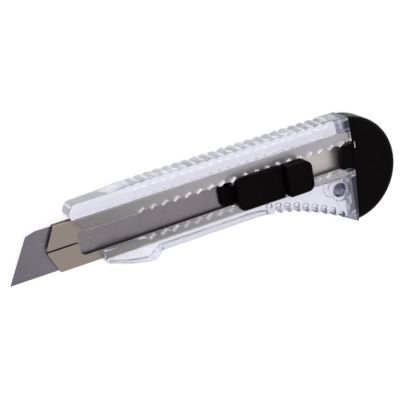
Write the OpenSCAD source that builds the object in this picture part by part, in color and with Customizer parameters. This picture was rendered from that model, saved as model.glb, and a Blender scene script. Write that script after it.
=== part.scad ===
// Snap-off utility knife: clear moulded handle, steel blade sheath, 18 mm blade,
// black slider with a lock button, and a domed end cap.
// Millimetres. X runs from the blade tip (-X) to the end cap (+X), +Y is the spine,
// -Y the cutting edge, +Z the slider side. The origin is on the flat back of the
// handle, half way along it and on the blade's centre line.

/* [Handle] */
// Length of the clear handle without the end cap
handle_len = 123; // [115:1:150]
// Thickness of the handle, back to front
handle_thick = 12.5; // [11.5:0.1:16]
// Spine, measured from the blade's centre line
spine_y = 15.6; // [15:0.1:20]
// Straight lower rail, measured from the blade's centre line
rail_y = 13.5; // [13:0.1:16]
// How far the ribbed length of the spine stands out past the rest
spine_rise = 0.7; // [0:0.1:1.2]
// Lowest point of the flared butt, measured from the blade's centre line
butt_y = 30; // [26:0.2:34]
// Drop of the finger guard below the lower rail
guard_drop = 3; // [1:0.1:4]
// Radius along the spine's long edges
edge_r = 2.5; // [1:0.1:3.5]
// Lift of the back towards the thin front end
nose_lift = 4.5; // [1:0.1:4.8]
// Depth of the moulded recesses in the back
recess_depth = 2.6; // [1:0.1:3.6]
// Half width of the moulded recesses in the back
recess_half_w = 5.5; // [4:0.5:9]

/* [Grip ribs] */
// Spacing of the grip grooves
rib_pitch = 4.05; // [3:0.05:6]
// Number of grooves along the spine
spine_grooves = 22; // [0:1:22]
// Number of grooves under the butt
butt_grooves = 8; // [0:1:8]
// Radius of one groove
groove_r = 1.1; // [0.6:0.1:1.6]
// Depth of one groove
groove_depth = 0.4; // [0.2:0.05:0.6]

/* [Blade] */
// Width of the blade
blade_w = 18; // [16:0.5:18.5]
// Length of the blade
blade_len = 100; // [90:1:110]
// Thickness of the blade
blade_t = 0.5; // [0.4:0.05:0.6]
// Distance between the snap-off score lines
score_pitch = 10; // [8:1:12]
// Diameter of the hole for the carrier's peg
blade_hole_d = 5; // [4:0.5:6]
// Blade beyond the sheath's point
blade_out = 16.3; // [10:0.1:20]

/* [Steel sheath] */
// Thickness of the sheet
sheet_t = 0.5; // [0.4:0.05:0.6]
// Thickness of the folded sheath
sheath_h = 2.75; // [2.6:0.05:3.2]
// Height of the sheath's underside above the back of the handle
sheath_z = 6.95; // [6.6:0.05:7.5]
// How far the sheath's point stands out of the handle's front
nose_out = 10.3; // [6:0.1:14]
// Length of the narrow slit at the sheath's front
slit_len = 12.6; // [8:0.1:14]
// Width of that slit
slit_w = 0.7; // [0.4:0.1:1.5]

/* [Slot and teeth] */
// Half width of the slot between the tooth tips
slot_half_w = 5.15; // [5:0.05:5.8]
// Sideways place of the slot's centre line
slot_y = -0.8; // [-1.2:0.1:0]
// Spacing of the lock teeth
tooth_pitch = 5; // [4:0.1:6]
// Depth of the lock teeth
tooth_depth = 1.4; // [0.8:0.1:1.6]
// Number of lock teeth along each lip
tooth_count = 20; // [10:1:20]

/* [Slider] */
// Length of the thumb pad
pad_len = 20.6; // [16:0.1:21]
// Half width of the thumb pad
pad_half_w = 6.8; // [6:0.1:8]
// Height of the thumb pad above the handle's front
pad_rise = 3.3; // [2:0.1:5]
// Length of the lock button
button_len = 11.4; // [10:0.1:14]
// Half width of the lock button
button_half_w = 6.5; // [6:0.1:8]
// Height of the lock button above the handle's front
button_rise = 6.3; // [4:0.1:9]
// Travel of the lock button each way
button_travel = 0.5; // [0.4:0.1:1]

/* [End cap] */
// How far the domed cap stands out behind the handle
cap_out = 20; // [14:0.1:21]
// Radius of the hanging hole
hang_r = 3; // [2:0.1:3.5]
// Length of the cap's upper plug inside the handle
plug_len = 2.4; // [2:0.1:5]
// Thickness of the cap's lower plug, a plate against the handle's rear rim
plug_plate_t = 1.2; // [1:0.1:4]

/* [Clearances] */
// Gap round pieces that slide
slide_gap = 0.1; // [0.05:0.01:0.2]
// Gap round pieces that are pushed together
fit_gap = 0.08; // [0.05:0.01:0.2]
// Gap between the slider's plates and the handle's front
plate_gap = 0.25; // [0.15:0.05:0.5]

/* [Hidden] */
$fn = 48;

// handle
nose_x = -handle_len / 2;
rear_x = handle_len / 2;
front_z = handle_thick;
mid_z = handle_thick / 2;
lip_front_x = nose_x + 4.8;
guard_x = nose_x + 10.6;
guard_low_x = guard_x + 19.1;
rail_x = guard_x + 24.9;
flare_x = rear_x - 48;
ramp_end_x = nose_x + 37;
first_groove_x = rear_x - 11.2;
rib_start_x = first_groove_x - rib_pitch * (spine_grooves - 0.5);
rim_bend_y = -8;
rim_lean = 1.4;
spine_end_drop = 0.7;

// blade and sheath
blade_z = sheath_z + sheet_t + blade_t / 2 + 0.03;
sheath_in = blade_w / 2 + slide_gap;
sheath_half_w = sheath_in + sheet_t;
sheath_top = sheath_z + sheath_h;
sheath_nose_x = nose_x - nose_out;
sheath_end_x = rear_x - 0.5;
steel_slot_half_w = slot_half_w - 0.25;
slot_front_x = sheath_nose_x + slit_len;
blade_tip_x = sheath_nose_x - blade_out;
blade_tail_x = blade_tip_x + blade_len;
tip_run = blade_w / tan(60);
peg_x = blade_tail_x - 7;

// slider: the carrier holds the blade's tail, so it is placed from there
pad_x = peg_x + 1.4;
button_gap = button_travel + 0.1;
button_x = pad_x + pad_len + button_gap;
carrier_x = peg_x - blade_hole_d / 2 - 1.6;
carrier_end_x = button_x + button_len - 4.7;
carrier_z = sheath_z + sheet_t + blade_t + 0.05;
carrier_top = sheath_top - sheet_t - slide_gap;
rail_top = sheath_top + 0.2;
neck_half_w = 3.3;
plate_z = front_z + plate_gap;

// lock teeth: one notch faces the spring's lug, the others follow at the pitch
lug_x = pad_x + 2.2;
first_tip_x = lug_x - 8.5 * tooth_pitch;
spring_t = 0.4;
spring_z = rail_top + 0.3;
spring_h = 1.6;

// end cap: a round disc with soft edges, cut at the handle's rear rim
cap_top_y = spine_y + spine_rise - spine_end_drop;
cap_r = (cap_top_y + butt_y) / 2 - 0.25;
cap_mid_y = cap_top_y - cap_r;
cap_edge_r = 3.2;
tongue_x = rear_x - 5.3;
catch_x = rear_x + 1.4;
catch_y = 1.6;
catch_w = 3.1;
cap_roof_z = front_z - 0.6;
catch_top_z = cap_roof_z - 0.2;
plug_low_z = mid_z - 0.25;
plug_high_z = front_z - 3;
hang_x = rear_x - 7.9;
hang_y = -14.1;
spot_depth = 1.3;

function lerp(a, b, t) = a + (b - a) * t;
function unit(x, x0, x1) = min(max((x - x0) / (x1 - x0), 0), 1);
// lower edge of the butt at x: one smooth curve from the rail down to the rim
function butt_line(x) = -lerp(rail_y, butt_y, pow(unit(x, flare_x, rear_x - rim_lean), 1.75));
// spine at x: straight, higher over the ribs, and a little lower towards the cap
function spine_line(x) = spine_y + spine_rise * unit(x, rib_start_x - 7, rib_start_x)
    - spine_end_drop * pow(unit(x, rear_x - 14, rear_x), 2);

module along_x(x0, len) {
    translate([x0, 0, 0]) rotate([90, 0, 90]) linear_extrude(len) children();
}

module box(lo, hi) {
    translate(lo) cube(hi - lo);
}

// plate along the slot, with its own corner radius at the front and at the rear
module round_plate(x0, x1, half_w, front_r, rear_r, z0, z1) {
    translate([0, slot_y, z0])
        linear_extrude(z1 - z0)
            union() {
                translate([x0 + front_r, -half_w]) square([x1 - x0 - front_r - rear_r, 2 * half_w]);
                translate([x0, front_r - half_w]) square([front_r * 2, 2 * (half_w - front_r)]);
                translate([x1 - rear_r * 2, rear_r - half_w]) square([rear_r * 2, 2 * (half_w - rear_r)]);
                for (side = [-1, 1]) {
                    translate([x0 + front_r, side * (half_w - front_r)]) circle(front_r);
                    translate([x1 - rear_r, side * (half_w - rear_r)]) circle(rear_r);
                }
            }
}

// outline of the clear handle seen from the front
module handle_outline() {
    nose_r = 3.4;
    corner_r = 2.6;
    corner_y = rail_y - 1.2;
    spine = [
        [rib_start_x - 7, spine_y], [rib_start_x, spine_y + spine_rise],
        for (i = [0:8]) let (x = lerp(rear_x - 14, rear_x, i / 8)) [x, spine_line(x)]
    ];
    rim = [[rear_x, rim_bend_y]];
    butt = [for (i = [0:14]) let (x = lerp(rear_x - rim_lean, flare_x, i / 14)) [x, butt_line(x)]];
    guard = [
        for (i = [0:8]) let (t = i / 8)
            [lerp(rail_x, guard_low_x, t), -rail_y - guard_drop * (1 - cos(180 * t)) / 2],
        for (i = [1:6]) let (t = i / 6)
            [lerp(guard_low_x, guard_x + corner_r, t),
             -lerp(rail_y + guard_drop, corner_y, pow(t, 1.5))],
        for (i = [1:6]) let (a = 90 - 15 * i)
            [guard_x + corner_r * (1 - cos(a)), -lerp(sheath_half_w, corner_y, sin(a))]
    ];
    nose = [
        [guard_x, slot_y - slot_half_w],
        [lip_front_x, slot_y + slot_half_w],
        [nose_x + 1.8, sheath_half_w],
        for (i = [0:6]) let (a = 180 - 15 * i)
            [nose_x + nose_r + nose_r * cos(a), 11.6 + (spine_y - 11.6) * sin(a)]
    ];
    polygon(concat(spine, rim, butt, guard, nose));
}

// cross-section of the handle: the spine's two long edges are round
module handle_profile() {
    low_y = -butt_y - 5;
    high_y = spine_y + spine_rise;
    difference() {
        translate([low_y, 0]) square([high_y - low_y, handle_thick]);
        for (side = [0, 1])
            translate([high_y - edge_r, side == 0 ? edge_r : handle_thick - edge_r])
                mirror([0, 1 - side])
                    difference() {
                        square(edge_r + 1);
                        circle(edge_r);
                    }
    }
}

// the back rises towards the front end, which is thinner than the grip
module nose_ramp() {
    translate([0, 50, 0])
        rotate([90, 0, 0])
            linear_extrude(100)
                polygon([
                    [nose_x - 1, -1], [ramp_end_x, -1], [ramp_end_x, 0],
                    [lerp(nose_x, ramp_end_x, 0.45), nose_lift * 0.42], [nose_x - 1, nose_lift]
                ]);
}

// toothed slot through the front lips, open at the rear
module slot_shape() {
    teeth = [
        for (i = [0:tooth_count - 1])
            each [[first_tip_x + tooth_pitch * i, slot_half_w],
                  [first_tip_x + tooth_pitch * (i + 0.5), slot_half_w + tooth_depth]]
    ];
    last_x = rear_x + 1;
    upper = concat([[nose_x - 1, slot_half_w]], [for (p = teeth) if (p[0] < rear_x - 1) p],
                   [[last_x, slot_half_w]]);
    lower = [for (i = [len(upper) - 1:-1:0]) [upper[i][0], -upper[i][1]]];
    translate([0, slot_y]) polygon(concat(upper, lower));
}

module grip_grooves() {
    for (i = [0:1:spine_grooves - 1]) {
        x = first_groove_x - i * rib_pitch;
        translate([x, spine_line(x) + groove_r - groove_depth, -1])
            cylinder(r = groove_r, h = handle_thick + 2);
    }
    for (i = [0:1:butt_grooves - 1]) {
        x = rear_x - 9.6 - i * rib_pitch;
        translate([x, butt_line(x) - groove_r + groove_depth * 1.4, -1])
            cylinder(r = groove_r, h = handle_thick + 2);
    }
}

module hang_hole() {
    translate([hang_x, hang_y, -1]) cylinder(r = hang_r, h = handle_thick + 2);
    for (z = [-1, front_z - spot_depth])
        translate([hang_x, hang_y, z]) cylinder(r = hang_r + 1.4, h = spot_depth + 1);
}

// the pockets in the handle's rear face, and the plugs of the cap that fill them
module plug_shapes(gap) {
    plate_x = rear_x - rim_lean - plug_plate_t;
    low_y = -butt_y + 5;
    z0 = plug_low_z - gap;
    z1 = plug_high_z + gap;
    box([rear_x - plug_len - gap, sheath_half_w + 1.2 - gap, z0],
        [rear_x + 0.5, cap_top_y - 1.6 + gap, z1]);
    box([plate_x - gap, low_y - gap, z0], [rear_x + 0.5, -sheath_half_w - 1.4 + gap, z1]);
    box([plate_x - 1.2 - gap, low_y - gap, z0], [rear_x - 0.5, low_y + 3 + gap, z1]);
}

module handle_body() {
    color([0.86, 0.88, 0.93, 0.45])
        difference() {
            intersection() {
                linear_extrude(handle_thick) handle_outline();
                along_x(nose_x - 1, handle_len + 2) handle_profile();
            }
            box([nose_x - 1, -sheath_half_w - fit_gap, sheath_z - fit_gap],
                [rear_x + 1, sheath_half_w + fit_gap, sheath_top + fit_gap]);
            translate([0, 0, sheath_top]) linear_extrude(front_z) slot_shape();
            nose_ramp();
            box([ramp_end_x + 3, -recess_half_w, -1], [-4, recess_half_w, recess_depth]);
            box([4, -recess_half_w, -1], [rear_x - 7, recess_half_w, recess_depth]);
            grip_grooves();
            hang_hole();
            plug_shapes(fit_gap);
            translate([rail_x - 2, -rail_y + 1, front_z - 1.2]) cylinder(r = 0.75, h = 2);
        }
}

module blade_sheath() {
    point_half = 1.2;
    low_shoulder_x = sheath_nose_x + 3.6;
    top_shoulder_x = sheath_nose_x + 4.3;
    color([0.62, 0.59, 0.55])
        difference() {
            translate([0, 0, sheath_z])
                linear_extrude(sheath_h)
                    polygon([
                        [sheath_nose_x, -point_half], [low_shoulder_x, -sheath_half_w],
                        [sheath_end_x, -sheath_half_w], [sheath_end_x, sheath_half_w],
                        [top_shoulder_x, sheath_half_w], [sheath_nose_x, point_half]
                    ]);
            box([sheath_nose_x - 1, -sheath_in, sheath_z + sheet_t],
                [sheath_end_x + 1, sheath_in, sheath_top - sheet_t]);
            box([sheath_nose_x - 1, -slit_w / 2, sheath_top - sheet_t - 0.1],
                [slot_front_x + 2, slit_w / 2, sheath_top + 1]);
            round_plate(slot_front_x, sheath_end_x + 9, steel_slot_half_w, 2, 2,
                        sheath_top - sheet_t - 0.1, sheath_top + 1);
        }
    // catch at the sheath's tail that shows in the cap's window
    color([0.62, 0.59, 0.55]) {
        box([sheath_end_x, catch_y, sheath_z], [catch_x + 0.8, catch_y + catch_w, sheath_z + sheet_t]);
        box([catch_x, catch_y, sheath_z + sheet_t], [catch_x + 0.8, catch_y + catch_w, catch_top_z]);
    }
}

module snap_blade() {
    half = blade_w / 2;
    bevel = 1.5;
    chip = 3.4;
    score_w = 0.2;
    score_depth = blade_t * 0.16;
    lines = floor((blade_len - tip_run - 4) / score_pitch);
    color([0.42, 0.41, 0.43])
        difference() {
            intersection() {
                translate([0, 0, blade_z - blade_t / 2])
                    linear_extrude(blade_t)
                        polygon([
                            [blade_tip_x, -half], [blade_tail_x, -half], [blade_tail_x, half],
                            [blade_tip_x + tip_run + chip, half],
                            [blade_tip_x + tip_run * 0.94, half - tip_run * 0.06 * tan(60)]
                        ]);
                along_x(blade_tip_x - 1, blade_len + 2)
                    translate([0, blade_z])
                        polygon([
                            [-half, -0.02], [-half + bevel, -blade_t / 2], [half, -blade_t / 2],
                            [half, blade_t / 2], [-half + bevel, blade_t / 2], [-half, 0.02]
                        ]);
            }
            for (i = [1:lines])
                translate([blade_tip_x + i * score_pitch, -half, blade_z + blade_t / 2 - score_depth])
                    rotate([0, 0, 60])
                        translate([-2, -score_w / 2, 0]) cube([blade_w / sin(60) + 4, score_w, 1]);
            translate([peg_x, 0, blade_z - 1]) cylinder(d = blade_hole_d, h = 2);
        }
}

module blade_carrier() {
    flange = sheath_in - 0.2;
    tongue_r = 2.2;
    rail_half_w = steel_slot_half_w - 0.3;
    color([0.06, 0.06, 0.07])
        difference() {
            union() {
                box([pad_x, -flange, carrier_z], [carrier_end_x, flange, carrier_top]);
                box([blade_tail_x + 0.2, -flange, sheath_z + sheet_t + 0.05],
                    [carrier_end_x, flange, carrier_z]);
                round_plate(carrier_x, carrier_end_x, rail_half_w, tongue_r, tongue_r,
                            carrier_z, carrier_top);
                round_plate(carrier_x + 0.6, carrier_end_x, rail_half_w - 0.4, tongue_r, tongue_r,
                            carrier_top, rail_top);
                translate([peg_x, 0, sheath_z + sheet_t + 0.1])
                    cylinder(d = blade_hole_d - 2 * slide_gap, h = blade_t);
            }
            button_tenon(button_travel + slide_gap, slide_gap);
        }
}

// the part of the lock button's foot that runs in the carrier's groove
module button_tenon(end_gap, side_gap) {
    x0 = button_x + 1.6;
    x1 = carrier_end_x - 1.6;
    box([x0 - end_gap, slot_y - 2.2 - side_gap, carrier_z + 0.3 - side_gap],
        [x1 + end_gap, slot_y + 2.2 + side_gap, rail_top + 0.1]);
}

module thumb_slider() {
    color([0.05, 0.05, 0.06]) {
        round_plate(pad_x, pad_x + pad_len, pad_half_w, 2.6, 0.8, plate_z, front_z + pad_rise);
        box([pad_x + 4.6, slot_y - neck_half_w, rail_top],
            [pad_x + pad_len - 1.8, slot_y + neck_half_w, plate_z]);
    }
}

module lock_button() {
    foot_z = rail_top + 0.05;
    color([0.05, 0.05, 0.06]) {
        round_plate(button_x, button_x + button_len, button_half_w, 0.8, 3, plate_z,
                    front_z + button_rise);
        box([button_x + 1.6, slot_y - neck_half_w, foot_z],
            [carrier_end_x - 1.6, slot_y + neck_half_w, plate_z]);
        intersection() {
            button_tenon(0, 0);
            box([button_x, -99, 0], [button_x + button_len, 99, foot_z]);
        }
    }
}

// one arm of the U-shaped strip, with the lug that sits in a notch
module spring_arm(back_x) {
    inner = neck_half_w + 0.15;
    outer = inner + spring_t;
    reach = slot_half_w + tooth_depth - 0.35;
    run = reach - outer;
    translate([0, 0, spring_z])
        linear_extrude(spring_h)
            polygon([
                [lug_x - run - 0.6, inner], [lug_x - run - 0.6, outer], [lug_x - run, outer],
                [lug_x, reach], [lug_x + run, outer], [back_x, outer], [back_x, inner],
                [lug_x + run - 0.3, inner], [lug_x, reach - spring_t * 1.4],
                [lug_x - run + 0.3, inner]
            ]);
}

module lock_spring() {
    back_x = pad_x + pad_len - 1.8 + 0.15;
    half = neck_half_w + 0.15 + spring_t;
    color([0.66, 0.66, 0.68])
        translate([0, slot_y, 0])
            union() {
                spring_arm(back_x + spring_t);
                mirror([0, 1, 0]) spring_arm(back_x + spring_t);
                box([back_x, -half, spring_z], [back_x + spring_t, half, spring_z + spring_h]);
            }
}

// the side of the rim line on which the cap lies
module cap_side() {
    reach = cap_out + 2;
    polygon([
        [rear_x + 0.02, spine_y + 1], [rear_x + reach, spine_y + 1], [rear_x + reach, -butt_y - 5],
        [rear_x + 0.02 - rim_lean * (butt_y + 5 + rim_bend_y) / (butt_y + rim_bend_y), -butt_y - 5],
        [rear_x + 0.02, rim_bend_y]
    ]);
}

module end_cap() {
    tongue_half_w = slot_half_w - fit_gap * 2;
    color([0.07, 0.07, 0.08])
        difference() {
            union() {
                intersection() {
                    translate([rear_x + cap_out - cap_r, cap_mid_y, 0])
                        rotate_extrude($fn = 96)
                            union() {
                                square([cap_r - cap_edge_r, handle_thick]);
                                translate([0, cap_edge_r])
                                    square([cap_r, handle_thick - 2 * cap_edge_r]);
                                for (z = [cap_edge_r, handle_thick - cap_edge_r])
                                    translate([cap_r - cap_edge_r, z]) circle(cap_edge_r);
                            }
                    linear_extrude(handle_thick) cap_side();
                }
                plug_shapes(0);
                box([tongue_x, slot_y - tongue_half_w, sheath_top + 0.2],
                    [rear_x + 0.5, slot_y + tongue_half_w, front_z - 0.3]);
            }
            // channel for the sheath's tail, and the window over its catch
            box([tongue_x - 1, catch_y - 0.4, sheath_z - 0.3],
                [catch_x + 1.2, catch_y + catch_w + 0.4, cap_roof_z]);
            box([catch_x - 0.3, catch_y - 0.2, front_z - 2],
                [catch_x + 1.1, catch_y + catch_w + 0.2, front_z + 1]);
        }
}

handle_body();
blade_sheath();
snap_blade();
blade_carrier();
thumb_slider();
lock_button();
lock_spring();
end_cap();
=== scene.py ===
import math

import bmesh
import bpy
from mathutils import Matrix, Vector


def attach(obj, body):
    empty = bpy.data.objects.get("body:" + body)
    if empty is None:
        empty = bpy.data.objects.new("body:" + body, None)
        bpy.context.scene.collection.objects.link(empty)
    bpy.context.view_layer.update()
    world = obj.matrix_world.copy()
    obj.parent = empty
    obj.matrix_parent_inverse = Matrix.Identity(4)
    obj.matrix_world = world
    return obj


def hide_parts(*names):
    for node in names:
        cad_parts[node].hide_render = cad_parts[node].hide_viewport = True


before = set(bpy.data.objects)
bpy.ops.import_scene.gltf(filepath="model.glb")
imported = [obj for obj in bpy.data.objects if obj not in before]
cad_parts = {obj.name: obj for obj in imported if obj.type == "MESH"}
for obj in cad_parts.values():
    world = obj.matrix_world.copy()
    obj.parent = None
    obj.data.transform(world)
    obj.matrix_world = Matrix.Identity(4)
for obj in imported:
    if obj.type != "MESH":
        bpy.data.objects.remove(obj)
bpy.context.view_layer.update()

# ---------------------------------------------------------------- sizes, millimetres
MM = 0.001
HANDLE_LEN = 123.0
THICK = 12.5
SPINE_Y = 15.6
RAIL_Y = 13.5
SPINE_RISE = 0.7        # the ribbed length of the spine stands out by this
BUTT_Y = 30.0
GUARD_DROP = 3.0
SOFT_R = 1.2            # radius round the handle's edges
SPINE_R = 3.0           # radius along the spine's two long edges
NOSE_LIFT = 4.5
NOSE_X = -HANDLE_LEN / 2
REAR_X = HANDLE_LEN / 2
LIP_FRONT_X = NOSE_X + 4.8
GUARD_X = NOSE_X + 10.6
GUARD_LOW_X = GUARD_X + 19.1
RAIL_X = GUARD_X + 24.9
FLARE_X = REAR_X - 48
RAMP_END_X = NOSE_X + 37
KNEE_X = NOSE_X + 0.45 * (RAMP_END_X - NOSE_X)
RIM_BEND_Y = -8.0
RIM_LEAN = 1.4
SPINE_END_DROP = 0.7
SPINE_END_RUN = 14.0
RECESS_HALF_W = 5.5
RECESS_DEPTH = 2.6
STOCK_OVER = 9.0        # the stock runs on past the rear rim by this, and is cut there later

SHEET_T = 0.5
SHEATH_H = 2.75
SHEATH_Z = 6.95
SHEATH_TOP = SHEATH_Z + SHEATH_H
SHEATH_HALF_W = 9.6
SHEATH_NOSE_X = NOSE_X - 10.3
SHEATH_END_X = REAR_X - 0.5
FIT_GAP = 0.08

SLOT_HALF_W = 5.15
SLOT_Y = -0.8
STEEL_SLOT_HALF_W = SLOT_HALF_W - 0.25
TOOTH_PITCH = 5.0
TOOTH_DEPTH = 1.4
TOOTH_COUNT = 20
FIRST_TIP_X = -34.0

RIB_PITCH = 4.05
SPINE_RIBS = 22
BUTT_RIBS = 8
FIRST_RIB_X = REAR_X - 11.2
FIRST_BUTT_RIB_X = REAR_X - 9.6
RIB_START_X = FIRST_RIB_X - RIB_PITCH * (SPINE_RIBS - 0.5)
RIB_RAMP_X = RIB_START_X - 7    # where the spine starts to rise to the ribs

HANG_X = REAR_X - 7.9
HANG_Y = -14.1
HANG_R = 3.0
HANG_STEP_R = HANG_R + 1.4      # the wider ring round the hanging hole
HANG_STEP = 1.3

PAD_X = 6.3
PAD_LEN = 20.6
PAD_HALF_W = 6.8
PLATE_Z = THICK + 0.25
PAD_TOP = THICK + 3.3
BUTTON_X = 27.5
BUTTON_LEN = 11.4
BUTTON_HALF_W = 6.5
BUTTON_TOP = THICK + 6.3
NECK_HALF_W = 3.3       # the slider's stems, which ride in the slot
TENON_HALF_W = 2.2

CAP_OUT = 20.0
CAP_TOP_Y = SPINE_Y + SPINE_RISE - SPINE_END_DROP
CAP_R = (CAP_TOP_Y + BUTT_Y) / 2 - 0.25
CAP_MID_Y = CAP_TOP_Y - CAP_R
CAP_ROOF_Z = THICK - 0.6
PLUG_LOW_Z = 6.0
PLUG_HIGH_Z = THICK - 3
CATCH_X = REAR_X + 1.4  # the sheath's upright catch, seen in the cap's window
CATCH_T = 0.8
CATCH_LOW_Y = 1.6
CATCH_HIGH_Y = 4.7


# ---------------------------------------------------------------- shape helpers
def lerp(a, b, t):
    return a + (b - a) * t


def unit(x, x0, x1):
    return min(max((x - x0) / (x1 - x0), 0.0), 1.0)


def butt_line(x):
    t = unit(x, FLARE_X, REAR_X - RIM_LEAN)
    return -lerp(RAIL_Y, BUTT_Y, t ** 1.75)


def spine_line(x):
    rise = SPINE_RISE * unit(x, RIB_RAMP_X, RIB_START_X)
    return SPINE_Y + rise - SPINE_END_DROP * unit(x, REAR_X - SPINE_END_RUN, REAR_X) ** 2


def prism(points, z0, z1):
    """A closed solid on a flat outline, from height z0 to z1."""
    bm = bmesh.new()
    face = bm.faces.new([bm.verts.new((x, y, z0)) for x, y in points])
    grown = bmesh.ops.extrude_face_region(bm, geom=[face])["geom"]
    top = [g for g in grown if isinstance(g, bmesh.types.BMVert)]
    bmesh.ops.translate(bm, verts=top, vec=(0, 0, z1 - z0))
    bmesh.ops.recalc_face_normals(bm, faces=bm.faces)
    return bm


def block(low, high):
    bm = bmesh.new()
    bmesh.ops.create_cube(bm, size=1)
    middle = [(a + b) / 2 for a, b in zip(low, high)]
    size = [b - a for a, b in zip(low, high)]
    bmesh.ops.scale(bm, vec=size, verts=bm.verts)
    bmesh.ops.translate(bm, vec=middle, verts=bm.verts)
    return bm


def soften(bm, width, steps, chosen):
    """Rounds the edges for which chosen(edge) holds."""
    edges = [e for e in bm.edges if chosen(e)]
    bmesh.ops.bevel(bm, geom=edges, offset=width, segments=steps, profile=0.5, affect="EDGES", material=-1)
    return bm


def along(e, axis):
    d = (e.verts[1].co - e.verts[0].co).normalized()
    return abs(d[axis]) > 0.99


def round_face(bm, up, radius, steps):
    """Rounds the rim of the face that looks up (+1) or down (-1), by insets that climb a quarter circle."""
    face = max((f for f in bm.faces if f.normal.z * up > 0.9), key=lambda f: f.calc_area())
    for k in range(steps):
        a0 = math.pi / 2 * k / steps
        a1 = math.pi / 2 * (k + 1) / steps
        inward = radius * (math.cos(a0) - math.cos(a1))
        rise = radius * (math.sin(a1) - math.sin(a0))
        bmesh.ops.inset_region(bm, faces=[face], thickness=inward, depth=rise,
                               use_even_offset=True, use_boundary=True)
    return bm


def split(bm, place, normal):
    """Cuts every face along a plane, and keeps both sides."""
    geom = list(bm.verts) + list(bm.edges) + list(bm.faces)
    bmesh.ops.bisect_plane(bm, geom=geom, plane_co=place, plane_no=normal)


def join(parts):
    """Several bmeshes as one."""
    whole = bmesh.new()
    for part in parts:
        mesh = bpy.data.meshes.new("part")
        part.to_mesh(mesh)
        part.free()
        whole.from_mesh(mesh)
        bpy.data.meshes.remove(mesh)
    return whole


def shown(bm, name):
    """A temporary object for one boolean step."""
    mesh = bpy.data.meshes.new(name)
    bm.to_mesh(mesh)
    bm.free()
    obj = bpy.data.objects.new(name, mesh)
    bpy.context.scene.collection.objects.link(obj)
    return obj


def carve(base, steps):
    """Cuts, joins or trims base by each (operation, bmesh) of steps in turn."""
    for operation, tool in steps:
        stock = shown(base, "stock")
        cutter = shown(tool, "tool")
        modifier = stock.modifiers.new("carve", "BOOLEAN")
        modifier.operation = operation
        modifier.solver = "EXACT"
        modifier.object = cutter
        base = bmesh.new()
        base.from_object(stock, bpy.context.evaluated_depsgraph_get())
        for obj in (stock, cutter):
            mesh = obj.data
            bpy.data.objects.remove(obj)
            bpy.data.meshes.remove(mesh)
        bmesh.ops.remove_doubles(base, verts=base.verts, dist=0.0005)
        bmesh.ops.dissolve_degenerate(base, edges=base.edges, dist=0.0005)
    return base


def piece(bm, name, body, stands_for, material, others=()):
    """Turns a bmesh in millimetres into a named piece.

    Each of others is a finish and a test; faces that pass the test get that finish.
    """
    for face in bm.faces:
        face.material_index = 0
        for index, (finish, chosen) in enumerate(others):
            if chosen(face):
                face.material_index = index + 1
    bmesh.ops.scale(bm, vec=(MM, MM, MM), verts=bm.verts)
    mesh = bpy.data.meshes.new(name)
    bm.to_mesh(mesh)
    bm.free()
    mesh.shade_smooth()
    mesh.set_sharp_from_angle(angle=math.radians(32))
    mesh.materials.append(material)
    for finish, _ in others:
        mesh.materials.append(finish)
    obj = bpy.data.objects.new(name, mesh)
    bpy.context.scene.collection.objects.link(obj)
    weighted = obj.modifiers.new("even shading", "WEIGHTED_NORMAL")
    weighted.keep_sharp = True
    weighted.weight = 100
    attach(obj, body)
    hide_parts(stands_for)


def round_outline(x0, x1, half_w, front_r, rear_r, steps=6):
    """Rounded rectangle along the slot's centre line, with its own corner radius at each end."""
    points = []
    corners = [(x1 - rear_r, half_w - rear_r, 0, rear_r), (x0 + front_r, half_w - front_r, 90, front_r),
               (x0 + front_r, front_r - half_w, 180, front_r), (x1 - rear_r, rear_r - half_w, 270, rear_r)]
    for cx, cy, start, r in corners:
        for k in range(steps + 1):
            a = math.radians(start + 90 * k / steps)
            points.append((cx + r * math.cos(a), SLOT_Y + cy + r * math.sin(a)))
    return points


# ---------------------------------------------------------------- clear handle
def spine_stretch():
    """The spine, from behind the rear rim to the ramp where the ribs begin."""
    points = [(REAR_X + STOCK_OVER, CAP_TOP_Y)]
    for k in range(9):
        x = lerp(REAR_X, REAR_X - SPINE_END_RUN, k / 8)
        points.append((x, spine_line(x)))
    return points + [(RIB_START_X, SPINE_Y + SPINE_RISE), (RIB_RAMP_X, SPINE_Y)]


def nose_stretch():
    """The round nose and the front, which is cut slanted later."""
    nose_r = 3.4
    low_y = 11.6
    points = []
    for k in range(9):
        a = math.radians(90 + 90 * k / 8)
        points.append((NOSE_X + nose_r + nose_r * math.cos(a), low_y + (SPINE_Y - low_y) * math.sin(a)))
    front_x = NOSE_X - 7
    return points + [(NOSE_X, SHEATH_HALF_W), (front_x, SHEATH_HALF_W), (front_x, -SHEATH_HALF_W)]


def guard_stretch():
    """The finger guard: a round corner, a slow fall to its lowest place and a rise to the straight rail."""
    corner_r = 2.6
    corner_y = RAIL_Y - 1.2
    low_y = RAIL_Y + GUARD_DROP
    points = []
    for k in range(8):
        a = math.radians(90 * k / 7)
        y = lerp(SHEATH_HALF_W, corner_y, math.sin(a))
        points.append((GUARD_X + corner_r * (1 - math.cos(a)), -y))
    for k in range(1, 9):
        t = 1 - k / 8
        points.append((lerp(GUARD_LOW_X, GUARD_X + corner_r, t), -lerp(low_y, corner_y, t ** 1.5)))
    for k in range(1, 11):
        t = 1 - k / 10
        rise = GUARD_DROP * (1 - math.cos(math.pi * t)) / 2
        points.append((lerp(RAIL_X, GUARD_LOW_X, t), -RAIL_Y - rise))
    return points


def butt_stretch():
    """The hollow curve under the flared butt, and a straight run past the rear rim."""
    end_x = REAR_X - RIM_LEAN
    points = []
    for k in range(25):
        x = lerp(FLARE_X, end_x, k / 24)
        points.append((x, butt_line(x)))
    slope = butt_line(end_x) - butt_line(end_x - 1)
    return points + [(end_x + STOCK_OVER, slope * STOCK_OVER - BUTT_Y)]


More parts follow.
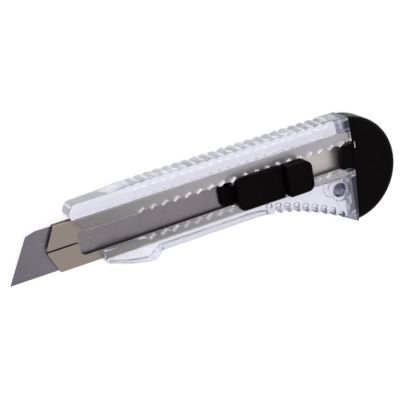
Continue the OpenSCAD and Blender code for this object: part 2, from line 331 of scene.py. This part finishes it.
def back_lift(x):
    """How far the back rises towards the thin front end, in two slopes that meet at a knee."""
    knee_lift = NOSE_LIFT * 0.42
    if x < KNEE_X:
        return lerp(NOSE_LIFT, knee_lift, unit(x, NOSE_X - 1, KNEE_X))
    return knee_lift * (1 - unit(x, KNEE_X, RAMP_END_X))


def handle_stock():
    """The moulding before anything is cut: outline, round rims and the back that rises to the nose."""
    outline = spine_stretch() + nose_stretch() + guard_stretch() + butt_stretch()
    bm = prism(outline, SOFT_R, THICK - SOFT_R)
    round_face(bm, 1, SOFT_R, 6)
    round_face(bm, -1, SOFT_R, 6)
    bm = carve(bm, [("INTERSECT", spine_tool())])
    for x in (NOSE_X + 4, NOSE_X + 9, KNEE_X, RAMP_END_X - 8, RAMP_END_X):
        split(bm, (x, 0, 0), (1, 0, 0))
    level = SHEATH_Z - FIT_GAP
    for v in bm.verts:
        if v.co.z < level:
            v.co.z += back_lift(v.co.x) * (1 - v.co.z / level)
    return bm


def spine_tool():
    """A long bar whose two edges along the spine are round, to trim the stock with."""
    top = SPINE_Y + SPINE_RISE
    low = Vector((NOSE_X - 20, -BUTT_Y - 20, 0))
    high = Vector((REAR_X + 20, top, THICK))
    bar = block(low, high)
    return soften(bar, SPINE_R, 8, lambda e: along(e, 0) and e.verts[0].co.y > 0)


def rim_tool(clearance):
    """Everything behind the rear rim, where the cap is."""
    low_y = -BUTT_Y - 8
    lean = RIM_LEAN * (RIM_BEND_Y - low_y) / (BUTT_Y + RIM_BEND_Y)
    x = REAR_X + clearance
    outline = [(x, 30), (x, RIM_BEND_Y), (x - lean, low_y), (x + 40, low_y), (x + 40, 30)]
    return prism(outline, -5, THICK + 5)


def front_tool():
    """The slanted front across the lips."""
    low_y = -13
    high_y = SHEATH_HALF_W + 2.6
    lower_lip = [(NOSE_X - 12, low_y), (GUARD_X + 0.01, low_y), (GUARD_X + 0.01, SLOT_Y - SLOT_HALF_W)]
    upper_lip = [(LIP_FRONT_X, SLOT_Y + SLOT_HALF_W), (NOSE_X + 1.8, SHEATH_HALF_W),
                 (NOSE_X + 0.8, SHEATH_HALF_W + 0.7), (NOSE_X + 0.2, SHEATH_HALF_W + 1.6)]
    return prism(lower_lip + upper_lip + [(NOSE_X - 0.01, high_y), (NOSE_X - 12, high_y)], -5, THICK + 5)


def slot_outline():
    """The slot with the teeth along both lips: narrow flats at the tips and the roots."""
    tip_flat = 0.18
    root_flat = 0.12
    upper = [(NOSE_X - 9, SLOT_HALF_W)]
    for k in range(TOOTH_COUNT):
        tip_x = FIRST_TIP_X + TOOTH_PITCH * k
        root_x = tip_x + TOOTH_PITCH / 2
        if tip_x < REAR_X - 1:
            upper.append((tip_x - tip_flat, SLOT_HALF_W))
            upper.append((tip_x + tip_flat, SLOT_HALF_W))
        if root_x < REAR_X - 1:
            upper.append((root_x - root_flat, SLOT_HALF_W + TOOTH_DEPTH))
            upper.append((root_x + root_flat, SLOT_HALF_W + TOOTH_DEPTH))
    upper.append((REAR_X + 9, SLOT_HALF_W))
    lower = [(x, -y) for x, y in reversed(upper)]
    return [(x, SLOT_Y + y) for x, y in upper + lower]


def slot_tool():
    """The toothed slot, with a small chamfer at the handle's front."""
    chamfer = 0.14
    bm = prism(slot_outline(), SHEATH_TOP - 1, THICK - chamfer)
    faces = [max((f for f in bm.faces if f.normal.z > 0.9), key=lambda f: f.calc_area())]
    faces, verts = grow(bm, faces)
    for v in verts:
        v.co.z += chamfer
        v.co.y += math.copysign(chamfer * 1.2, v.co.y - SLOT_Y)
    faces, verts = grow(bm, faces)
    bmesh.ops.translate(bm, verts=verts, vec=(0, 0, 2))
    return bm


def grow(bm, faces):
    """Extrudes faces in place and gives the new faces and vertices."""
    rims = {e for f in faces for e in f.edges}
    corners = {v for f in faces for v in f.verts}
    grown = bmesh.ops.extrude_face_region(bm, geom=faces + list(rims) + list(corners))["geom"]
    return ([g for g in grown if isinstance(g, bmesh.types.BMFace)],
            [g for g in grown if isinstance(g, bmesh.types.BMVert)])


def mirror_down(bm):
    """Opens the upper half of a cutter at mid height and mirrors it downwards."""
    start = [f for f in bm.faces if all(abs(v.co.z - THICK / 2) < 1e-4 for v in f.verts)]
    bmesh.ops.delete(bm, geom=start, context="FACES_ONLY")
    geom = list(bm.verts) + list(bm.edges) + list(bm.faces)
    middle = Matrix.Translation((0, 0, -THICK / 2))
    bmesh.ops.mirror(bm, geom=geom, matrix=middle, merge_dist=1e-3, axis="Z")
    bmesh.ops.remove_doubles(bm, verts=bm.verts, dist=1e-3)


def rib_tool(x, y, turn, half, deep, roundness, edge_r, fade):
    """One grip groove, cut across the wall and over both rounded edges, fading out on the flat faces.

    Its section is a V for a roundness of 1 and a hollow for more. Each step of fade is a run along
    the flat face, a rise out of it and a narrowing.
    """
    bm = bmesh.new()
    points = []
    for k in range(13):
        t = k / 6 - 1
        hollow = (1 - abs(t) ** roundness) ** (1.4 / roundness)
        points.append((half * t, 0.01 - deep * hollow))
    points += [(half, 1.2), (-half, 1.2)]
    faces = [bm.faces.new([bm.verts.new((u, v, THICK / 2)) for u, v in points])]
    faces, verts = grow(bm, faces)
    bmesh.ops.translate(bm, vec=(0, 0, THICK / 2 - edge_r), verts=verts)
    steps = 6
    for _ in range(steps):
        faces, verts = grow(bm, faces)
        bmesh.ops.rotate(bm, cent=(0, -edge_r, THICK - edge_r), verts=verts,
                         matrix=Matrix.Rotation(math.pi / 2 / steps, 3, "X"))
    for run, rise, narrowing in fade:
        faces, verts = grow(bm, faces)
        bmesh.ops.translate(bm, vec=(0, -run, rise), verts=verts)
        bmesh.ops.scale(bm, vec=(narrowing, 1, 1), verts=verts)
    mirror_down(bm)
    bmesh.ops.rotate(bm, cent=(0, 0, 0), matrix=Matrix.Rotation(turn, 3, "Z"), verts=bm.verts)
    bmesh.ops.translate(bm, vec=(x, y, 0), verts=bm.verts)
    bmesh.ops.recalc_face_normals(bm, faces=bm.faces)
    return bm


def turned(x, y, profile, steps=48):
    """A closed solid turned about the vertical line at x, y, from (radius, height) points."""
    bm = bmesh.new()
    verts = [bm.verts.new((r, 0, z)) for r, z in profile]
    edges = [bm.edges.new(pair) for pair in zip(verts, verts[1:])]
    bmesh.ops.spin(bm, geom=verts + edges, cent=(0, 0, 0), axis=(0, 0, 1), angle=2 * math.pi,
                   steps=steps, use_merge=True, use_duplicate=False)
    bmesh.ops.remove_doubles(bm, verts=bm.verts, dist=1e-4)
    bmesh.ops.recalc_face_normals(bm, faces=bm.faces)
    bmesh.ops.translate(bm, vec=(x, y, 0), verts=bm.verts)
    return bm


def hang_tool():
    """The hanging hole, with a wider step at both faces and small chamfers."""
    wide = HANG_STEP_R
    low = [(0, -2.0), (wide + 0.3, -2.0), (wide + 0.3, 0), (wide, 0.3), (wide, HANG_STEP - 0.25),
           (wide - 0.25, HANG_STEP), (HANG_R + 0.2, HANG_STEP), (HANG_R, HANG_STEP + 0.2)]
    high = [(r, THICK - z) for r, z in reversed(low)]
    return turned(HANG_X, HANG_Y, low + high)


def recess_tool(x0, x1):
    """One of the two long hollows in the back."""
    bm = block((x0, -RECESS_HALF_W, -2), (x1, RECESS_HALF_W, RECESS_DEPTH))
    soften(bm, 2.0, 4, lambda e: along(e, 2))
    return soften(bm, 0.7, 3, lambda e: all(v.co.z > RECESS_DEPTH - 0.01 for v in e.verts))


def plug_blocks(gap):
    """The cap's plugs, or with a gap the pockets for them in the handle's rear face."""
    plate_x = REAR_X - RIM_LEAN - 1.2
    low_y = -BUTT_Y + 5
    z0 = PLUG_LOW_Z - gap
    z1 = PLUG_HIGH_Z + gap
    end_x = REAR_X + 0.5
    upper = block((REAR_X - 2.4 - gap, SHEATH_HALF_W + 1.2 - gap, z0), (end_x, CAP_TOP_Y - 1.6 + gap, z1))
    lower = block((plate_x - gap, low_y - gap, z0), (end_x, -SHEATH_HALF_W - 1.4 + gap, z1))
    foot = block((plate_x - 1.2 - gap, low_y - gap, z0), (REAR_X - 0.5, low_y + 3 + gap, z1))
    return [upper, lower, foot]


def dimple_tool():
    """A small gate mark in the front, where the rail begins."""
    profile = [(0, THICK - 1.2), (0.6, THICK - 1.1), (0.75, THICK), (0.75, THICK + 1), (0, THICK + 1)]
    return turned(RAIL_X - 2, 1 - RAIL_Y, profile, 16)


def lower_flank(face):
    """The flanks of the lower teeth that look towards the nose."""
    middle = face.calc_center_median()
    toothed = -SLOT_HALF_W - TOOTH_DEPTH - 0.1 < middle.y - SLOT_Y < 0.1 - SLOT_HALF_W
    return toothed and middle.z > SHEATH_TOP and face.normal.x < -0.3


def over_steel(face):
    """Front and back faces of the two lips that lie over the sheath."""
    middle = face.calc_center_median()
    return abs(middle.y) < SHEATH_HALF_W + 0.2 and middle.z > SHEATH_TOP and abs(face.normal.z) > 0.5


def in_pocket(face):
    """Walls of the two pockets for the cap's plugs, which get a painted shade."""
    x, y, z = face.calc_center_median()
    beside_slot = abs(y) > SHEATH_HALF_W + 1 and butt_line(x) + 1 < y < CAP_TOP_Y - 1.4
    at_rim = REAR_X - 4 < x < REAR_X - 0.01
    return at_rim and beside_slot and PLUG_LOW_Z - 0.2 < z < PLUG_HIGH_Z + 0.2


def painted_shade_walls(face):
    """Walls that get a painted shade: the hanging hole and the grip grooves of the butt."""
    x, y = face.calc_center_median().xy
    in_hole = math.hypot(x - HANG_X, y - HANG_Y) < HANG_R + 0.1 and abs(face.normal.z) < 0.5
    first_x = FIRST_BUTT_RIB_X - (BUTT_RIBS - 0.5) * RIB_PITCH
    in_groove = first_x < x < REAR_X - 2 and 0.03 < y - butt_line(x) < 3.2 and face.normal.x < -0.25
    return in_hole or in_groove


def hazy_wall(face):
    """The spine's and the nose's outer walls and rounded edges, which are hazier than the flat faces."""
    x, y = face.calc_center_median().xy
    spine = y > SHEATH_HALF_W + 1.5 and face.normal.y > 0.3
    nose = x < LIP_FRONT_X and abs(y) > SHEATH_HALF_W and face.normal.x < -0.3
    return (spine or nose) and x < REAR_X - 4


def spine_ribs():
    """V grooves along the spine, shallower towards the nose."""
    ribs = []
    for k in range(SPINE_RIBS):
        x = FIRST_RIB_X - k * RIB_PITCH
        tilt = math.atan(spine_line(x + 0.5) - spine_line(x - 0.5))
        deep = lerp(0.62, 0.4, k / SPINE_RIBS)
        fade = ((1.4, 0.0, 1.0), (1.0, deep * 0.4, 0.9), (0.5, 0.8, 0.8))
        ribs.append(rib_tool(x, spine_line(x), tilt, RIB_PITCH / 2 - 0.07, deep, 1.0, SPINE_R, fade))
    return ribs


def butt_ribs():
    """Round grooves under the butt."""
    ribs = []
    fade = ((0.5, 0.0, 0.9), (0.45, 0.08, 0.8), (0.3, 0.15, 0.6), (0.1, 1.4, 0.6))
    for k in range(BUTT_RIBS):
        x = FIRST_BUTT_RIB_X - k * RIB_PITCH
        tilt = math.atan(butt_line(x + 0.5) - butt_line(x - 0.5))
        ribs.append(rib_tool(x, butt_line(x), math.pi + tilt, 1.6, 1.25, 2.2, SOFT_R, fade))
    return ribs


def clear_handle(material, others):
    channel = block((NOSE_X - 12, -SHEATH_HALF_W - FIT_GAP, SHEATH_Z - FIT_GAP),
                    (REAR_X + 12, SHEATH_HALF_W + FIT_GAP, SHEATH_TOP + FIT_GAP))
    recesses = join([recess_tool(RAMP_END_X + 3, -4), recess_tool(4, REAR_X - 7)])
    cutters = [rim_tool(0), front_tool(), channel, slot_tool(), recesses, join(spine_ribs() + butt_ribs()),
               join([hang_tool(), dimple_tool()])] + plug_blocks(FIT_GAP)
    bm = carve(handle_stock(), [("DIFFERENCE", cutter) for cutter in cutters])
    for y in (-SHEATH_HALF_W, SHEATH_HALF_W):
        split(bm, (0, y, 0), (0, 1, 0))
    piece(bm, "clear_handle", "handle", "handle_body", material, others)


# ---------------------------------------------------------------- steel sheath
def cut_edge(face):
    """Sheared edges and folds of the sheath, but not its upright catch; these get a painted shade."""
    return abs(face.normal.z) < 0.5 and face.calc_center_median().x < SHEATH_END_X - 0.1


def folded_channel():
    """The folded sheet as a flat tube, before its nose and openings are cut."""
    over = 3.0
    start_x = SHEATH_NOSE_X - over
    outer = block((start_x, -SHEATH_HALF_W, SHEATH_Z), (SHEATH_END_X, SHEATH_HALF_W, SHEATH_TOP))
    soften(outer, 0.8, 4, lambda e: along(e, 0))
    inner = block((start_x - 1, -SHEATH_HALF_W + SHEET_T, SHEATH_Z + SHEET_T),
                  (SHEATH_END_X + 1, SHEATH_HALF_W - SHEET_T, SHEATH_TOP - SHEET_T))
    soften(inner, 0.35, 3, lambda e: along(e, 0))
    return carve(outer, [("DIFFERENCE", inner)])


def nose_tools():
    """The two slanted cuts and the blunt tip of the sheath's pointed nose."""
    nose = SHEATH_NOSE_X
    point = 1.2
    wide = SHEATH_HALF_W
    upper = [(nose, point), (nose + 4.3, wide), (nose + 4.3, wide + 2), (nose - 9, wide + 2),
             (nose - 9, point)]
    lower = [(nose, -point), (nose - 9, -point), (nose - 9, -wide - 2), (nose + 3.6, -wide - 2),
             (nose + 3.6, -wide)]
    tip = block((nose - 9, -point - 1, 0), (nose, point + 1, THICK))
    return [prism(upper, 0, THICK), prism(lower, 0, THICK), tip]


def sheath_openings():
    """The narrow slit at the nose and the wide slot behind it."""
    slit = block((SHEATH_NOSE_X - 5, -0.35, SHEATH_TOP - 1), (SHEATH_NOSE_X + 14, 0.35, SHEATH_TOP + 1))
    outline = round_outline(SHEATH_NOSE_X + 12.6, SHEATH_END_X + 9, STEEL_SLOT_HALF_W, 2.0, 2.0)
    return [slit, prism(outline, SHEATH_TOP - SHEET_T - 0.1, SHEATH_TOP + 1)]


def steel_sheath(material, others):
    foot = block((SHEATH_END_X - 0.2, CATCH_LOW_Y, SHEATH_Z),
                 (CATCH_X + CATCH_T, CATCH_HIGH_Y, SHEATH_Z + SHEET_T))
    post = block((CATCH_X, CATCH_LOW_Y, SHEATH_Z + 0.1), (CATCH_X + CATCH_T, CATCH_HIGH_Y, CAP_ROOF_Z - 0.2))
    soften(post, 0.2, 2, lambda e: True)
    steps = [("DIFFERENCE", cutter) for cutter in nose_tools() + sheath_openings()]
    bm = carve(folded_channel(), steps + [("UNION", foot), ("UNION", post)])
    piece(bm, "steel_sheath", "handle", "blade_sheath", material, others)


# ---------------------------------------------------------------- slider
def plate(x0, x1, half_w, front_r, rear_r, z1, soft_r):
    """A thumb plate with round corners, a soft upper rim and a small lower one."""
    low_r = 0.3
    bm = prism(round_outline(x0, x1, half_w, front_r, rear_r), PLATE_Z + low_r, z1 - soft_r)
    round_face(bm, 1, soft_r, 5)
    return round_face(bm, -1, low_r, 2)


def slot_block(x0, x1, half_w, z0, z1):
    """A plain block on the slot's centre line."""
    return block((x0, SLOT_Y - half_w, z0), (x1, SLOT_Y + half_w, z1))


def thumb_pad(material):
    end_x = PAD_X + PAD_LEN
    top = plate(PAD_X, end_x, PAD_HALF_W, 2.6, 0.6, PAD_TOP, 0.5)
    stem = slot_block(PAD_X + 4.6, end_x - 1.8, NECK_HALF_W, SHEATH_TOP + 0.2, PLATE_Z + 0.5)
    bm = carve(top, [("UNION", stem)])
    piece(bm, "thumb_pad", "carriage", "thumb_slider", material)


def button_block(material):
    end_x = BUTTON_X + BUTTON_LEN
    carrier_end = end_x - 4.7
    stem_x0 = BUTTON_X + 1.6
    stem_x1 = carrier_end - 1.6
    top = plate(BUTTON_X, end_x, BUTTON_HALF_W, 0.7, 3.0, BUTTON_TOP, 0.6)
    stem = slot_block(stem_x0, stem_x1, NECK_HALF_W, SHEATH_TOP + 0.25, PLATE_Z + 0.5)
    tenon = slot_block(stem_x0, stem_x1, TENON_HALF_W, SHEATH_Z + 1.35, SHEATH_TOP + 0.5)
    bm = carve(top, [("UNION", stem), ("UNION", tenon)])
    piece(bm, "lock_block", "lock", "lock_button", material)


# ---------------------------------------------------------------- end cap
def cap_disc():
    """The whole round disc, before the handle's rim cuts it off."""
    middle_x = REAR_X + CAP_OUT - CAP_R
    edge_r = 2.6
    ring = []
    for k in range(120):
        a = 2 * math.pi * k / 120
        ring.append((middle_x + CAP_R * math.cos(a), CAP_MID_Y + CAP_R * math.sin(a)))
    bm = prism(ring, edge_r, THICK - edge_r)
    round_face(bm, 1, edge_r, 8)
    return round_face(bm, -1, edge_r, 8)


def domed_cap(material):
    tongue = slot_block(REAR_X - 5.3, REAR_X + 0.5, SLOT_HALF_W - 0.16, SHEATH_TOP + 0.2, THICK - 0.3)
    tail_room = block((REAR_X - 6.3, CATCH_LOW_Y - 0.4, SHEATH_Z - 0.3),
                      (CATCH_X + CATCH_T + 0.4, CATCH_HIGH_Y + 0.4, CAP_ROOF_Z))
    window = block((CATCH_X - 0.3, CATCH_LOW_Y - 0.2, THICK - 2),
                   (CATCH_X + CATCH_T + 0.3, CATCH_HIGH_Y + 0.2, THICK + 1))
    steps = [("INTERSECT", rim_tool(0.02))]
    steps += [("UNION", part) for part in plug_blocks(0) + [tongue]]
    steps += [("DIFFERENCE", cutter) for cutter in (tail_room, window)]
    bm = carve(cap_disc(), steps)
    piece(bm, "domed_cap", "cap", "end_cap", material)


# ---------------------------------------------------------------- materials
def new_material(name, **values):
    """A material, its node tree and its shader, with values set on the shader's own sockets."""
    material = bpy.data.materials.new(name)
    material.use_nodes = True
    tree = material.node_tree
    shader = tree.nodes["Principled BSDF"]
    for key, value in values.items():
        shader.inputs[key.replace("_", " ")].default_value = value
    return material, tree, shader


def object_coords(tree, turn=0.0):
    """Object coordinates, turned about Z."""
    source = tree.nodes.new("ShaderNodeTexCoord")
    mapping = tree.nodes.new("ShaderNodeMapping")
    mapping.inputs["Rotation"].default_value = (0, 0, turn)
    tree.links.new(source.outputs["Object"], mapping.inputs["Vector"])
    return mapping.outputs["Vector"]


def empty_surface_group():
    """A node group with its named inputs and outputs."""
    group = bpy.data.node_groups.new("surface unevenness", "ShaderNodeTree")
    for name in ("Vector", "Stretch"):
        group.interface.new_socket(name, in_out="INPUT", socket_type="NodeSocketVector")
    for name in ("Grain Scale", "Cloud Scale"):
        group.interface.new_socket(name, in_out="INPUT", socket_type="NodeSocketFloat")
    for name in ("Grain", "Clouds", "Scuffs"):
        group.interface.new_socket(name, in_out="OUTPUT", socket_type="NodeSocketFloat")
    return group


def noise(tree, vector, scale, detail):
    node = tree.nodes.new("ShaderNodeTexNoise")
    node.inputs["Detail"].default_value = detail
    tree.links.new(vector, node.inputs["Vector"])
    tree.links.new(scale, node.inputs["Scale"])
    return node.outputs["Fac"]


def surface_group():
    """The unevenness that every finish shares: drawn or moulded grain, soft clouds and thin scuffs."""
    group = empty_surface_group()
    given = group.nodes.new("NodeGroupInput").outputs
    wanted = group.nodes.new("NodeGroupOutput").inputs
    stretched = group.nodes.new("ShaderNodeVectorMath")
    stretched.operation = "MULTIPLY"
    group.links.new(given["Vector"], stretched.inputs[0])
    group.links.new(given["Stretch"], stretched.inputs[1])
    slanted = group.nodes.new("ShaderNodeMapping")
    slanted.inputs["Rotation"].default_value = (0, 0, 0.35)
    slanted.inputs["Scale"].default_value = (0.25, 5.0, 5.0)
    group.links.new(given["Vector"], slanted.inputs["Vector"])
    lines = noise(group, slanted.outputs["Vector"], given["Grain Scale"], 2.0)
    group.links.new(noise(group, stretched.outputs["Vector"], given["Grain Scale"], 4.0), wanted["Grain"])
    group.links.new(noise(group, given["Vector"], given["Cloud Scale"], 3.0), wanted["Clouds"])
    group.links.new(spread(group, lines, 0.66, 0.74, 0.0, 1.0), wanted["Scuffs"])
    return group


def unevenness(tree, grain_scale, cloud_scale, stretch=(1, 1, 1)):
    """Places the shared group in a material and gives its grain, clouds and scuffs."""
    node = tree.nodes.new("ShaderNodeGroup")
    node.node_tree = bpy.data.node_groups.get("surface unevenness") or surface_group()
    tree.links.new(object_coords(tree), node.inputs["Vector"])
    node.inputs["Stretch"].default_value = stretch
    node.inputs["Grain Scale"].default_value = grain_scale
    node.inputs["Cloud Scale"].default_value = cloud_scale
    return node.outputs["Grain"], node.outputs["Clouds"], node.outputs["Scuffs"]


def spread(tree, value, low, high, out_low, out_high):
    """Maps low..high to out_low..out_high, and holds the ends."""
    node = tree.nodes.new("ShaderNodeMapRange")
    node.inputs["From Min"].default_value = low
    node.inputs["From Max"].default_value = high
    node.inputs["To Min"].default_value = out_low
    node.inputs["To Max"].default_value = out_high
    tree.links.new(value, node.inputs["Value"])
    return node.outputs["Result"]


def place_along(tree, axis, start, end, turn=0.0):
    """0 to 1 along one axis of the piece, turned about Z, between two places in millimetres."""
    axes = tree.nodes.new("ShaderNodeSeparateXYZ")
    tree.links.new(object_coords(tree, turn), axes.inputs["Vector"])
    return spread(tree, axes.outputs[axis], start * MM, end * MM, 0.0, 1.0)


def add(tree, value, extra, share):
    """value + extra * share"""
    node = tree.nodes.new("ShaderNodeMath")
    node.operation = "MULTIPLY_ADD"
    node.inputs[1].default_value = share
    tree.links.new(extra, node.inputs[0])
    tree.links.new(value, node.inputs[2])
    return node.outputs["Value"]


def blend_colours(tree, factor, a, b):
    node = tree.nodes.new("ShaderNodeMix")
    node.data_type = "RGBA"
    tree.links.new(factor, node.inputs["Factor"])
    for socket, colour in ((node.inputs[6], a), (node.inputs[7], b)):
        if isinstance(colour, tuple):
            socket.default_value = (*colour, 1)
        else:
            tree.links.new(colour, socket)
    return node.outputs[2]


def bump(tree, shader, height, strength, distance):
    node = tree.nodes.new("ShaderNodeBump")
    node.inputs["Strength"].default_value = strength
    node.inputs["Distance"].default_value = distance
    tree.links.new(height, node.inputs["Height"])
    tree.links.new(node.outputs["Normal"], shader.inputs["Normal"])


def clear_plastic(name, clearness, tint, deep_tint, front_shade=None, rim_shade=None):
    """Clear moulded plastic, a little cloudy inside and scuffed by handling.

    A front tint, which is painted shade, fades out to the rear, and a rear tint, also painted shade, covers
    only the rim over the cap's plugs.
    """
    material, tree, shader = new_material(name, Transmission_Weight=clearness, IOR=1.5)
    grain, clouds, scuffs = unevenness(tree, 340, 45)
    colour = blend_colours(tree, clouds, tint, deep_tint)
    # painted shade: the lips darken towards the nose and fade out to the rear
    if front_shade:
        colour = blend_colours(tree, place_along(tree, "X", -50, 40), front_shade, colour)
    # painted shade: dark blue over the rear rim, above the cap's plugs
    if rim_shade:
        colour = blend_colours(tree, place_along(tree, "X", REAR_X - 2.7, REAR_X - 2.1), colour, rim_shade)
    tree.links.new(colour, shader.inputs["Base Color"])
    smooth = spread(tree, clouds, 0.3, 0.75, 0.02, 0.06)
    tree.links.new(add(tree, smooth, scuffs, 0.12), shader.inputs["Roughness"])
    bump(tree, shader, grain, 0.05, 0.0001)
    return material


def rolled_steel():
    """Folded sheet: tan at its nose, then dull grey, then a painted reflection that lightens it past a soft,
    slanted border.
    """
    material, tree, shader = new_material("rolled_steel", Metallic=1.0)
    grain, clouds, scuffs = unevenness(tree, 260, 55, (1, 14, 14))
    tan = blend_colours(tree, clouds, (0.315, 0.262, 0.234), (0.27, 0.228, 0.205))
    dull = blend_colours(tree, clouds, (0.31, 0.285, 0.275), (0.265, 0.245, 0.24))
    painted_reflection = blend_colours(tree, clouds, (0.60, 0.55, 0.54), (0.52, 0.475, 0.465))
    lean = -math.atan2(2, 1)
    colour = blend_colours(tree, place_along(tree, "X", -56, -40), tan, dull)
    # painted reflection: lighter steel past the soft, slanted border
    colour = blend_colours(tree, place_along(tree, "X", -17, 3, lean), colour, painted_reflection)
    tree.links.new(colour, shader.inputs["Base Color"])
    satin = spread(tree, grain, 0.3, 0.7, 0.36, 0.46)
    tree.links.new(add(tree, satin, scuffs, -0.08), shader.inputs["Roughness"])
    bump(tree, shader, grain, 0.04, 0.00002)
    return material


def edge_shade_steel():
    """Painted shade on the sheared edges and folds of the sheath: near-black steel."""
    material, tree, shader = new_material("edge_shade_steel", Metallic=1.0)
    grain, clouds = unevenness(tree, 500, 80, (1, 1, 10))[:2]
    # painted shade: near-black colour for the sheath's edges and folds
    colour = blend_colours(tree, grain, (0.05, 0.042, 0.04), (0.11, 0.095, 0.09))
    tree.links.new(colour, shader.inputs["Base Color"])
    tree.links.new(spread(tree, clouds, 0.3, 0.7, 0.35, 0.5), shader.inputs["Roughness"])
    return material


def blade_steel():
    """Ground across the blade, with a thin film of oil, and a painted shade that darkens it towards the
    point.
    """
    material, tree, shader = new_material("blade_steel", Metallic=1.0)
    grain, clouds, scuffs = unevenness(tree, 300, 40, (14, 1, 14))
    colour = blend_colours(tree, clouds, (0.245, 0.22, 0.247), (0.2, 0.178, 0.2))
    # painted shade: darker towards the point
    colour = blend_colours(tree, place_along(tree, "X", -84, -62), (0.165, 0.152, 0.186), colour)
    colour = blend_colours(tree, scuffs, colour, (0.3, 0.275, 0.29))
    tree.links.new(colour, shader.inputs["Base Color"])
    tree.links.new(spread(tree, grain, 0.3, 0.7, 0.28, 0.42), shader.inputs["Roughness"])
    bump(tree, shader, grain, 0.1, 0.00002)
    return material


def spring_steel():
    """Bright strip, drawn lengthwise."""
    material, tree, shader = new_material("spring_steel", Metallic=1.0)
    grain, clouds = unevenness(tree, 400, 90, (1, 10, 10))[:2]
    colour = blend_colours(tree, clouds, (0.55, 0.55, 0.57), (0.42, 0.42, 0.44))
    tree.links.new(colour, shader.inputs["Base Color"])
    tree.links.new(spread(tree, grain, 0.3, 0.7, 0.15, 0.3), shader.inputs["Roughness"])
    return material


def black_plastic(name, rough_low, rough_high, pore_scale):
    """Satin black moulding with fine pores, polished in patches by the hand."""
    material, tree, shader = new_material(name, IOR=1.5, Specular_IOR_Level=0.03)
    grain, clouds, scuffs = unevenness(tree, pore_scale, 70)
    colour = blend_colours(tree, clouds, (0.0008, 0.0005, 0.0007), (0.0022, 0.0013, 0.0018))
    colour = blend_colours(tree, spread(tree, scuffs, 0, 1, 0, 0.5), colour, (0.012, 0.01, 0.011))
    tree.links.new(colour, shader.inputs["Base Color"])
    tree.links.new(spread(tree, clouds, 0.3, 0.7, rough_low, rough_high), shader.inputs["Roughness"])
    bump(tree, shader, grain, 0.25, 0.00005)
    return material


# ---------------------------------------------------------------- studio
def studio_floor():
    """A wide pale floor, a hair below the object so that the two don't share a plane."""
    bm = bmesh.new()
    bmesh.ops.create_grid(bm, x_segments=1, y_segments=1, size=3.0)
    bmesh.ops.translate(bm, verts=bm.verts, vec=(0, 0, -0.0001))
    mesh = bpy.data.meshes.new("floor")
    bm.to_mesh(mesh)
    bm.free()
    material = new_material("pale_floor", Roughness=0.9, Base_Color=(0.35, 0.35, 0.35, 1),
                            Emission_Color=(1, 1, 1, 1), Emission_Strength=0.68)[0]
    mesh.materials.append(material)
    floor = bpy.data.objects.new("floor", mesh)
    bpy.context.scene.collection.objects.link(floor)


def soft_light(name, place, aim, size, power):
    data = bpy.data.lights.new(name, "AREA")
    data.shape = "RECTANGLE"
    data.size, data.size_y = size
    data.energy = power
    light = bpy.data.objects.new(name, data)
    bpy.context.scene.collection.objects.link(light)
    light.location = place
    light.rotation_euler = (Vector(aim) - Vector(place)).to_track_quat("-Z", "Y").to_euler()


def studio_world():
    world = bpy.data.worlds.new("studio")
    bpy.context.scene.world = world
    world.use_nodes = True
    background = world.node_tree.nodes["Background"]
    background.inputs["Color"].default_value = (1.0, 1.0, 1.0, 1)
    background.inputs["Strength"].default_value = 0.95


def studio_camera():
    """A long lens that looks down on the front at a slant."""
    roll = Matrix.Rotation(0.1826, 3, "Z")
    tilt = Matrix.Rotation(0.3547, 3, "X")
    yaw = Matrix.Rotation(0.3840, 3, "Y")
    across = 4.6124
    up = 1.5164
    distance = 479.62
    middle = Vector((-12.0, 0, 7.7))
    away = roll @ tilt @ yaw
    place = away.transposed() @ Vector((across, up, distance)) + middle
    data = bpy.data.cameras.new("camera")
    data.lens = 110.14
    data.sensor_width = 36
    data.clip_start = 0.01
    camera = bpy.data.objects.new("camera", data)
    bpy.context.scene.collection.objects.link(camera)
    camera.matrix_world = Matrix.Translation(place * MM) @ away.transposed().to_4x4()
    bpy.context.scene.camera = camera


def cad_finish(node, material):
    """Gives a CAD node its finish, and leaves its mesh alone."""
    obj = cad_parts[node]
    obj.data.materials.clear()
    obj.data.materials.append(material)


def handle_finishes():
    """The handle's clear plastic, and the pairs of finish and faces where it looks different."""
    # the rear tint is painted shade over the rim
    plastic = clear_plastic("clear_plastic", 0.88, (0.87, 0.875, 0.95), (0.82, 0.825, 0.915),
                            rim_shade=(0.05, 0.046, 0.13))
    hazy = clear_plastic("hazy_plastic", 0.75, (0.87, 0.875, 0.95), (0.81, 0.815, 0.9))
    # painted shade: near-black blue on the walls of the plug pockets
    pocket_shade = clear_plastic("pocket_shade_plastic", 0.4, (0.03, 0.028, 0.09), (0.02, 0.018, 0.06))
    frosted = clear_plastic("frosted_teeth", 0.5, (0.9, 0.85, 0.92), (0.86, 0.81, 0.88))
    # the lips' front tint is painted shade, darker towards the nose
    lips = clear_plastic("clear_lips", 0.93, (0.9, 0.895, 0.94), (0.87, 0.865, 0.92),
                         front_shade=(0.71, 0.705, 0.72))
    # painted shade: a dark blue tint on the hanging hole's walls and the butt's groove walls
    deep = clear_plastic("groove_shade_plastic", 0.96, (0.42, 0.43, 0.6), (0.3, 0.31, 0.46))
    return plastic, [(hazy, hazy_wall), (frosted, lower_flank), (lips, over_steel), (deep, painted_shade_walls),
                     (pocket_shade, in_pocket)]


def main():
    slider_black = black_plastic("slider_black", 0.38, 0.5, 900)
    clear_handle(*handle_finishes())
    # the sheath's edges and folds get a painted shade
    steel_sheath(rolled_steel(), [(edge_shade_steel(), cut_edge)])
    thumb_pad(slider_black)
    button_block(slider_black)
    domed_cap(black_plastic("cap_black", 0.3, 0.42, 500))
    cad_finish("snap_blade", blade_steel())
    cad_finish("blade_carrier", slider_black)
    cad_finish("lock_spring", spring_steel())
    studio_floor()
    studio_world()
    studio_camera()
    soft_light("key", (-0.25, 0.35, 0.75), (0, 0, 0), (0.5, 0.5), 3)
    bpy.context.scene.view_settings.view_transform = "Standard"


main()
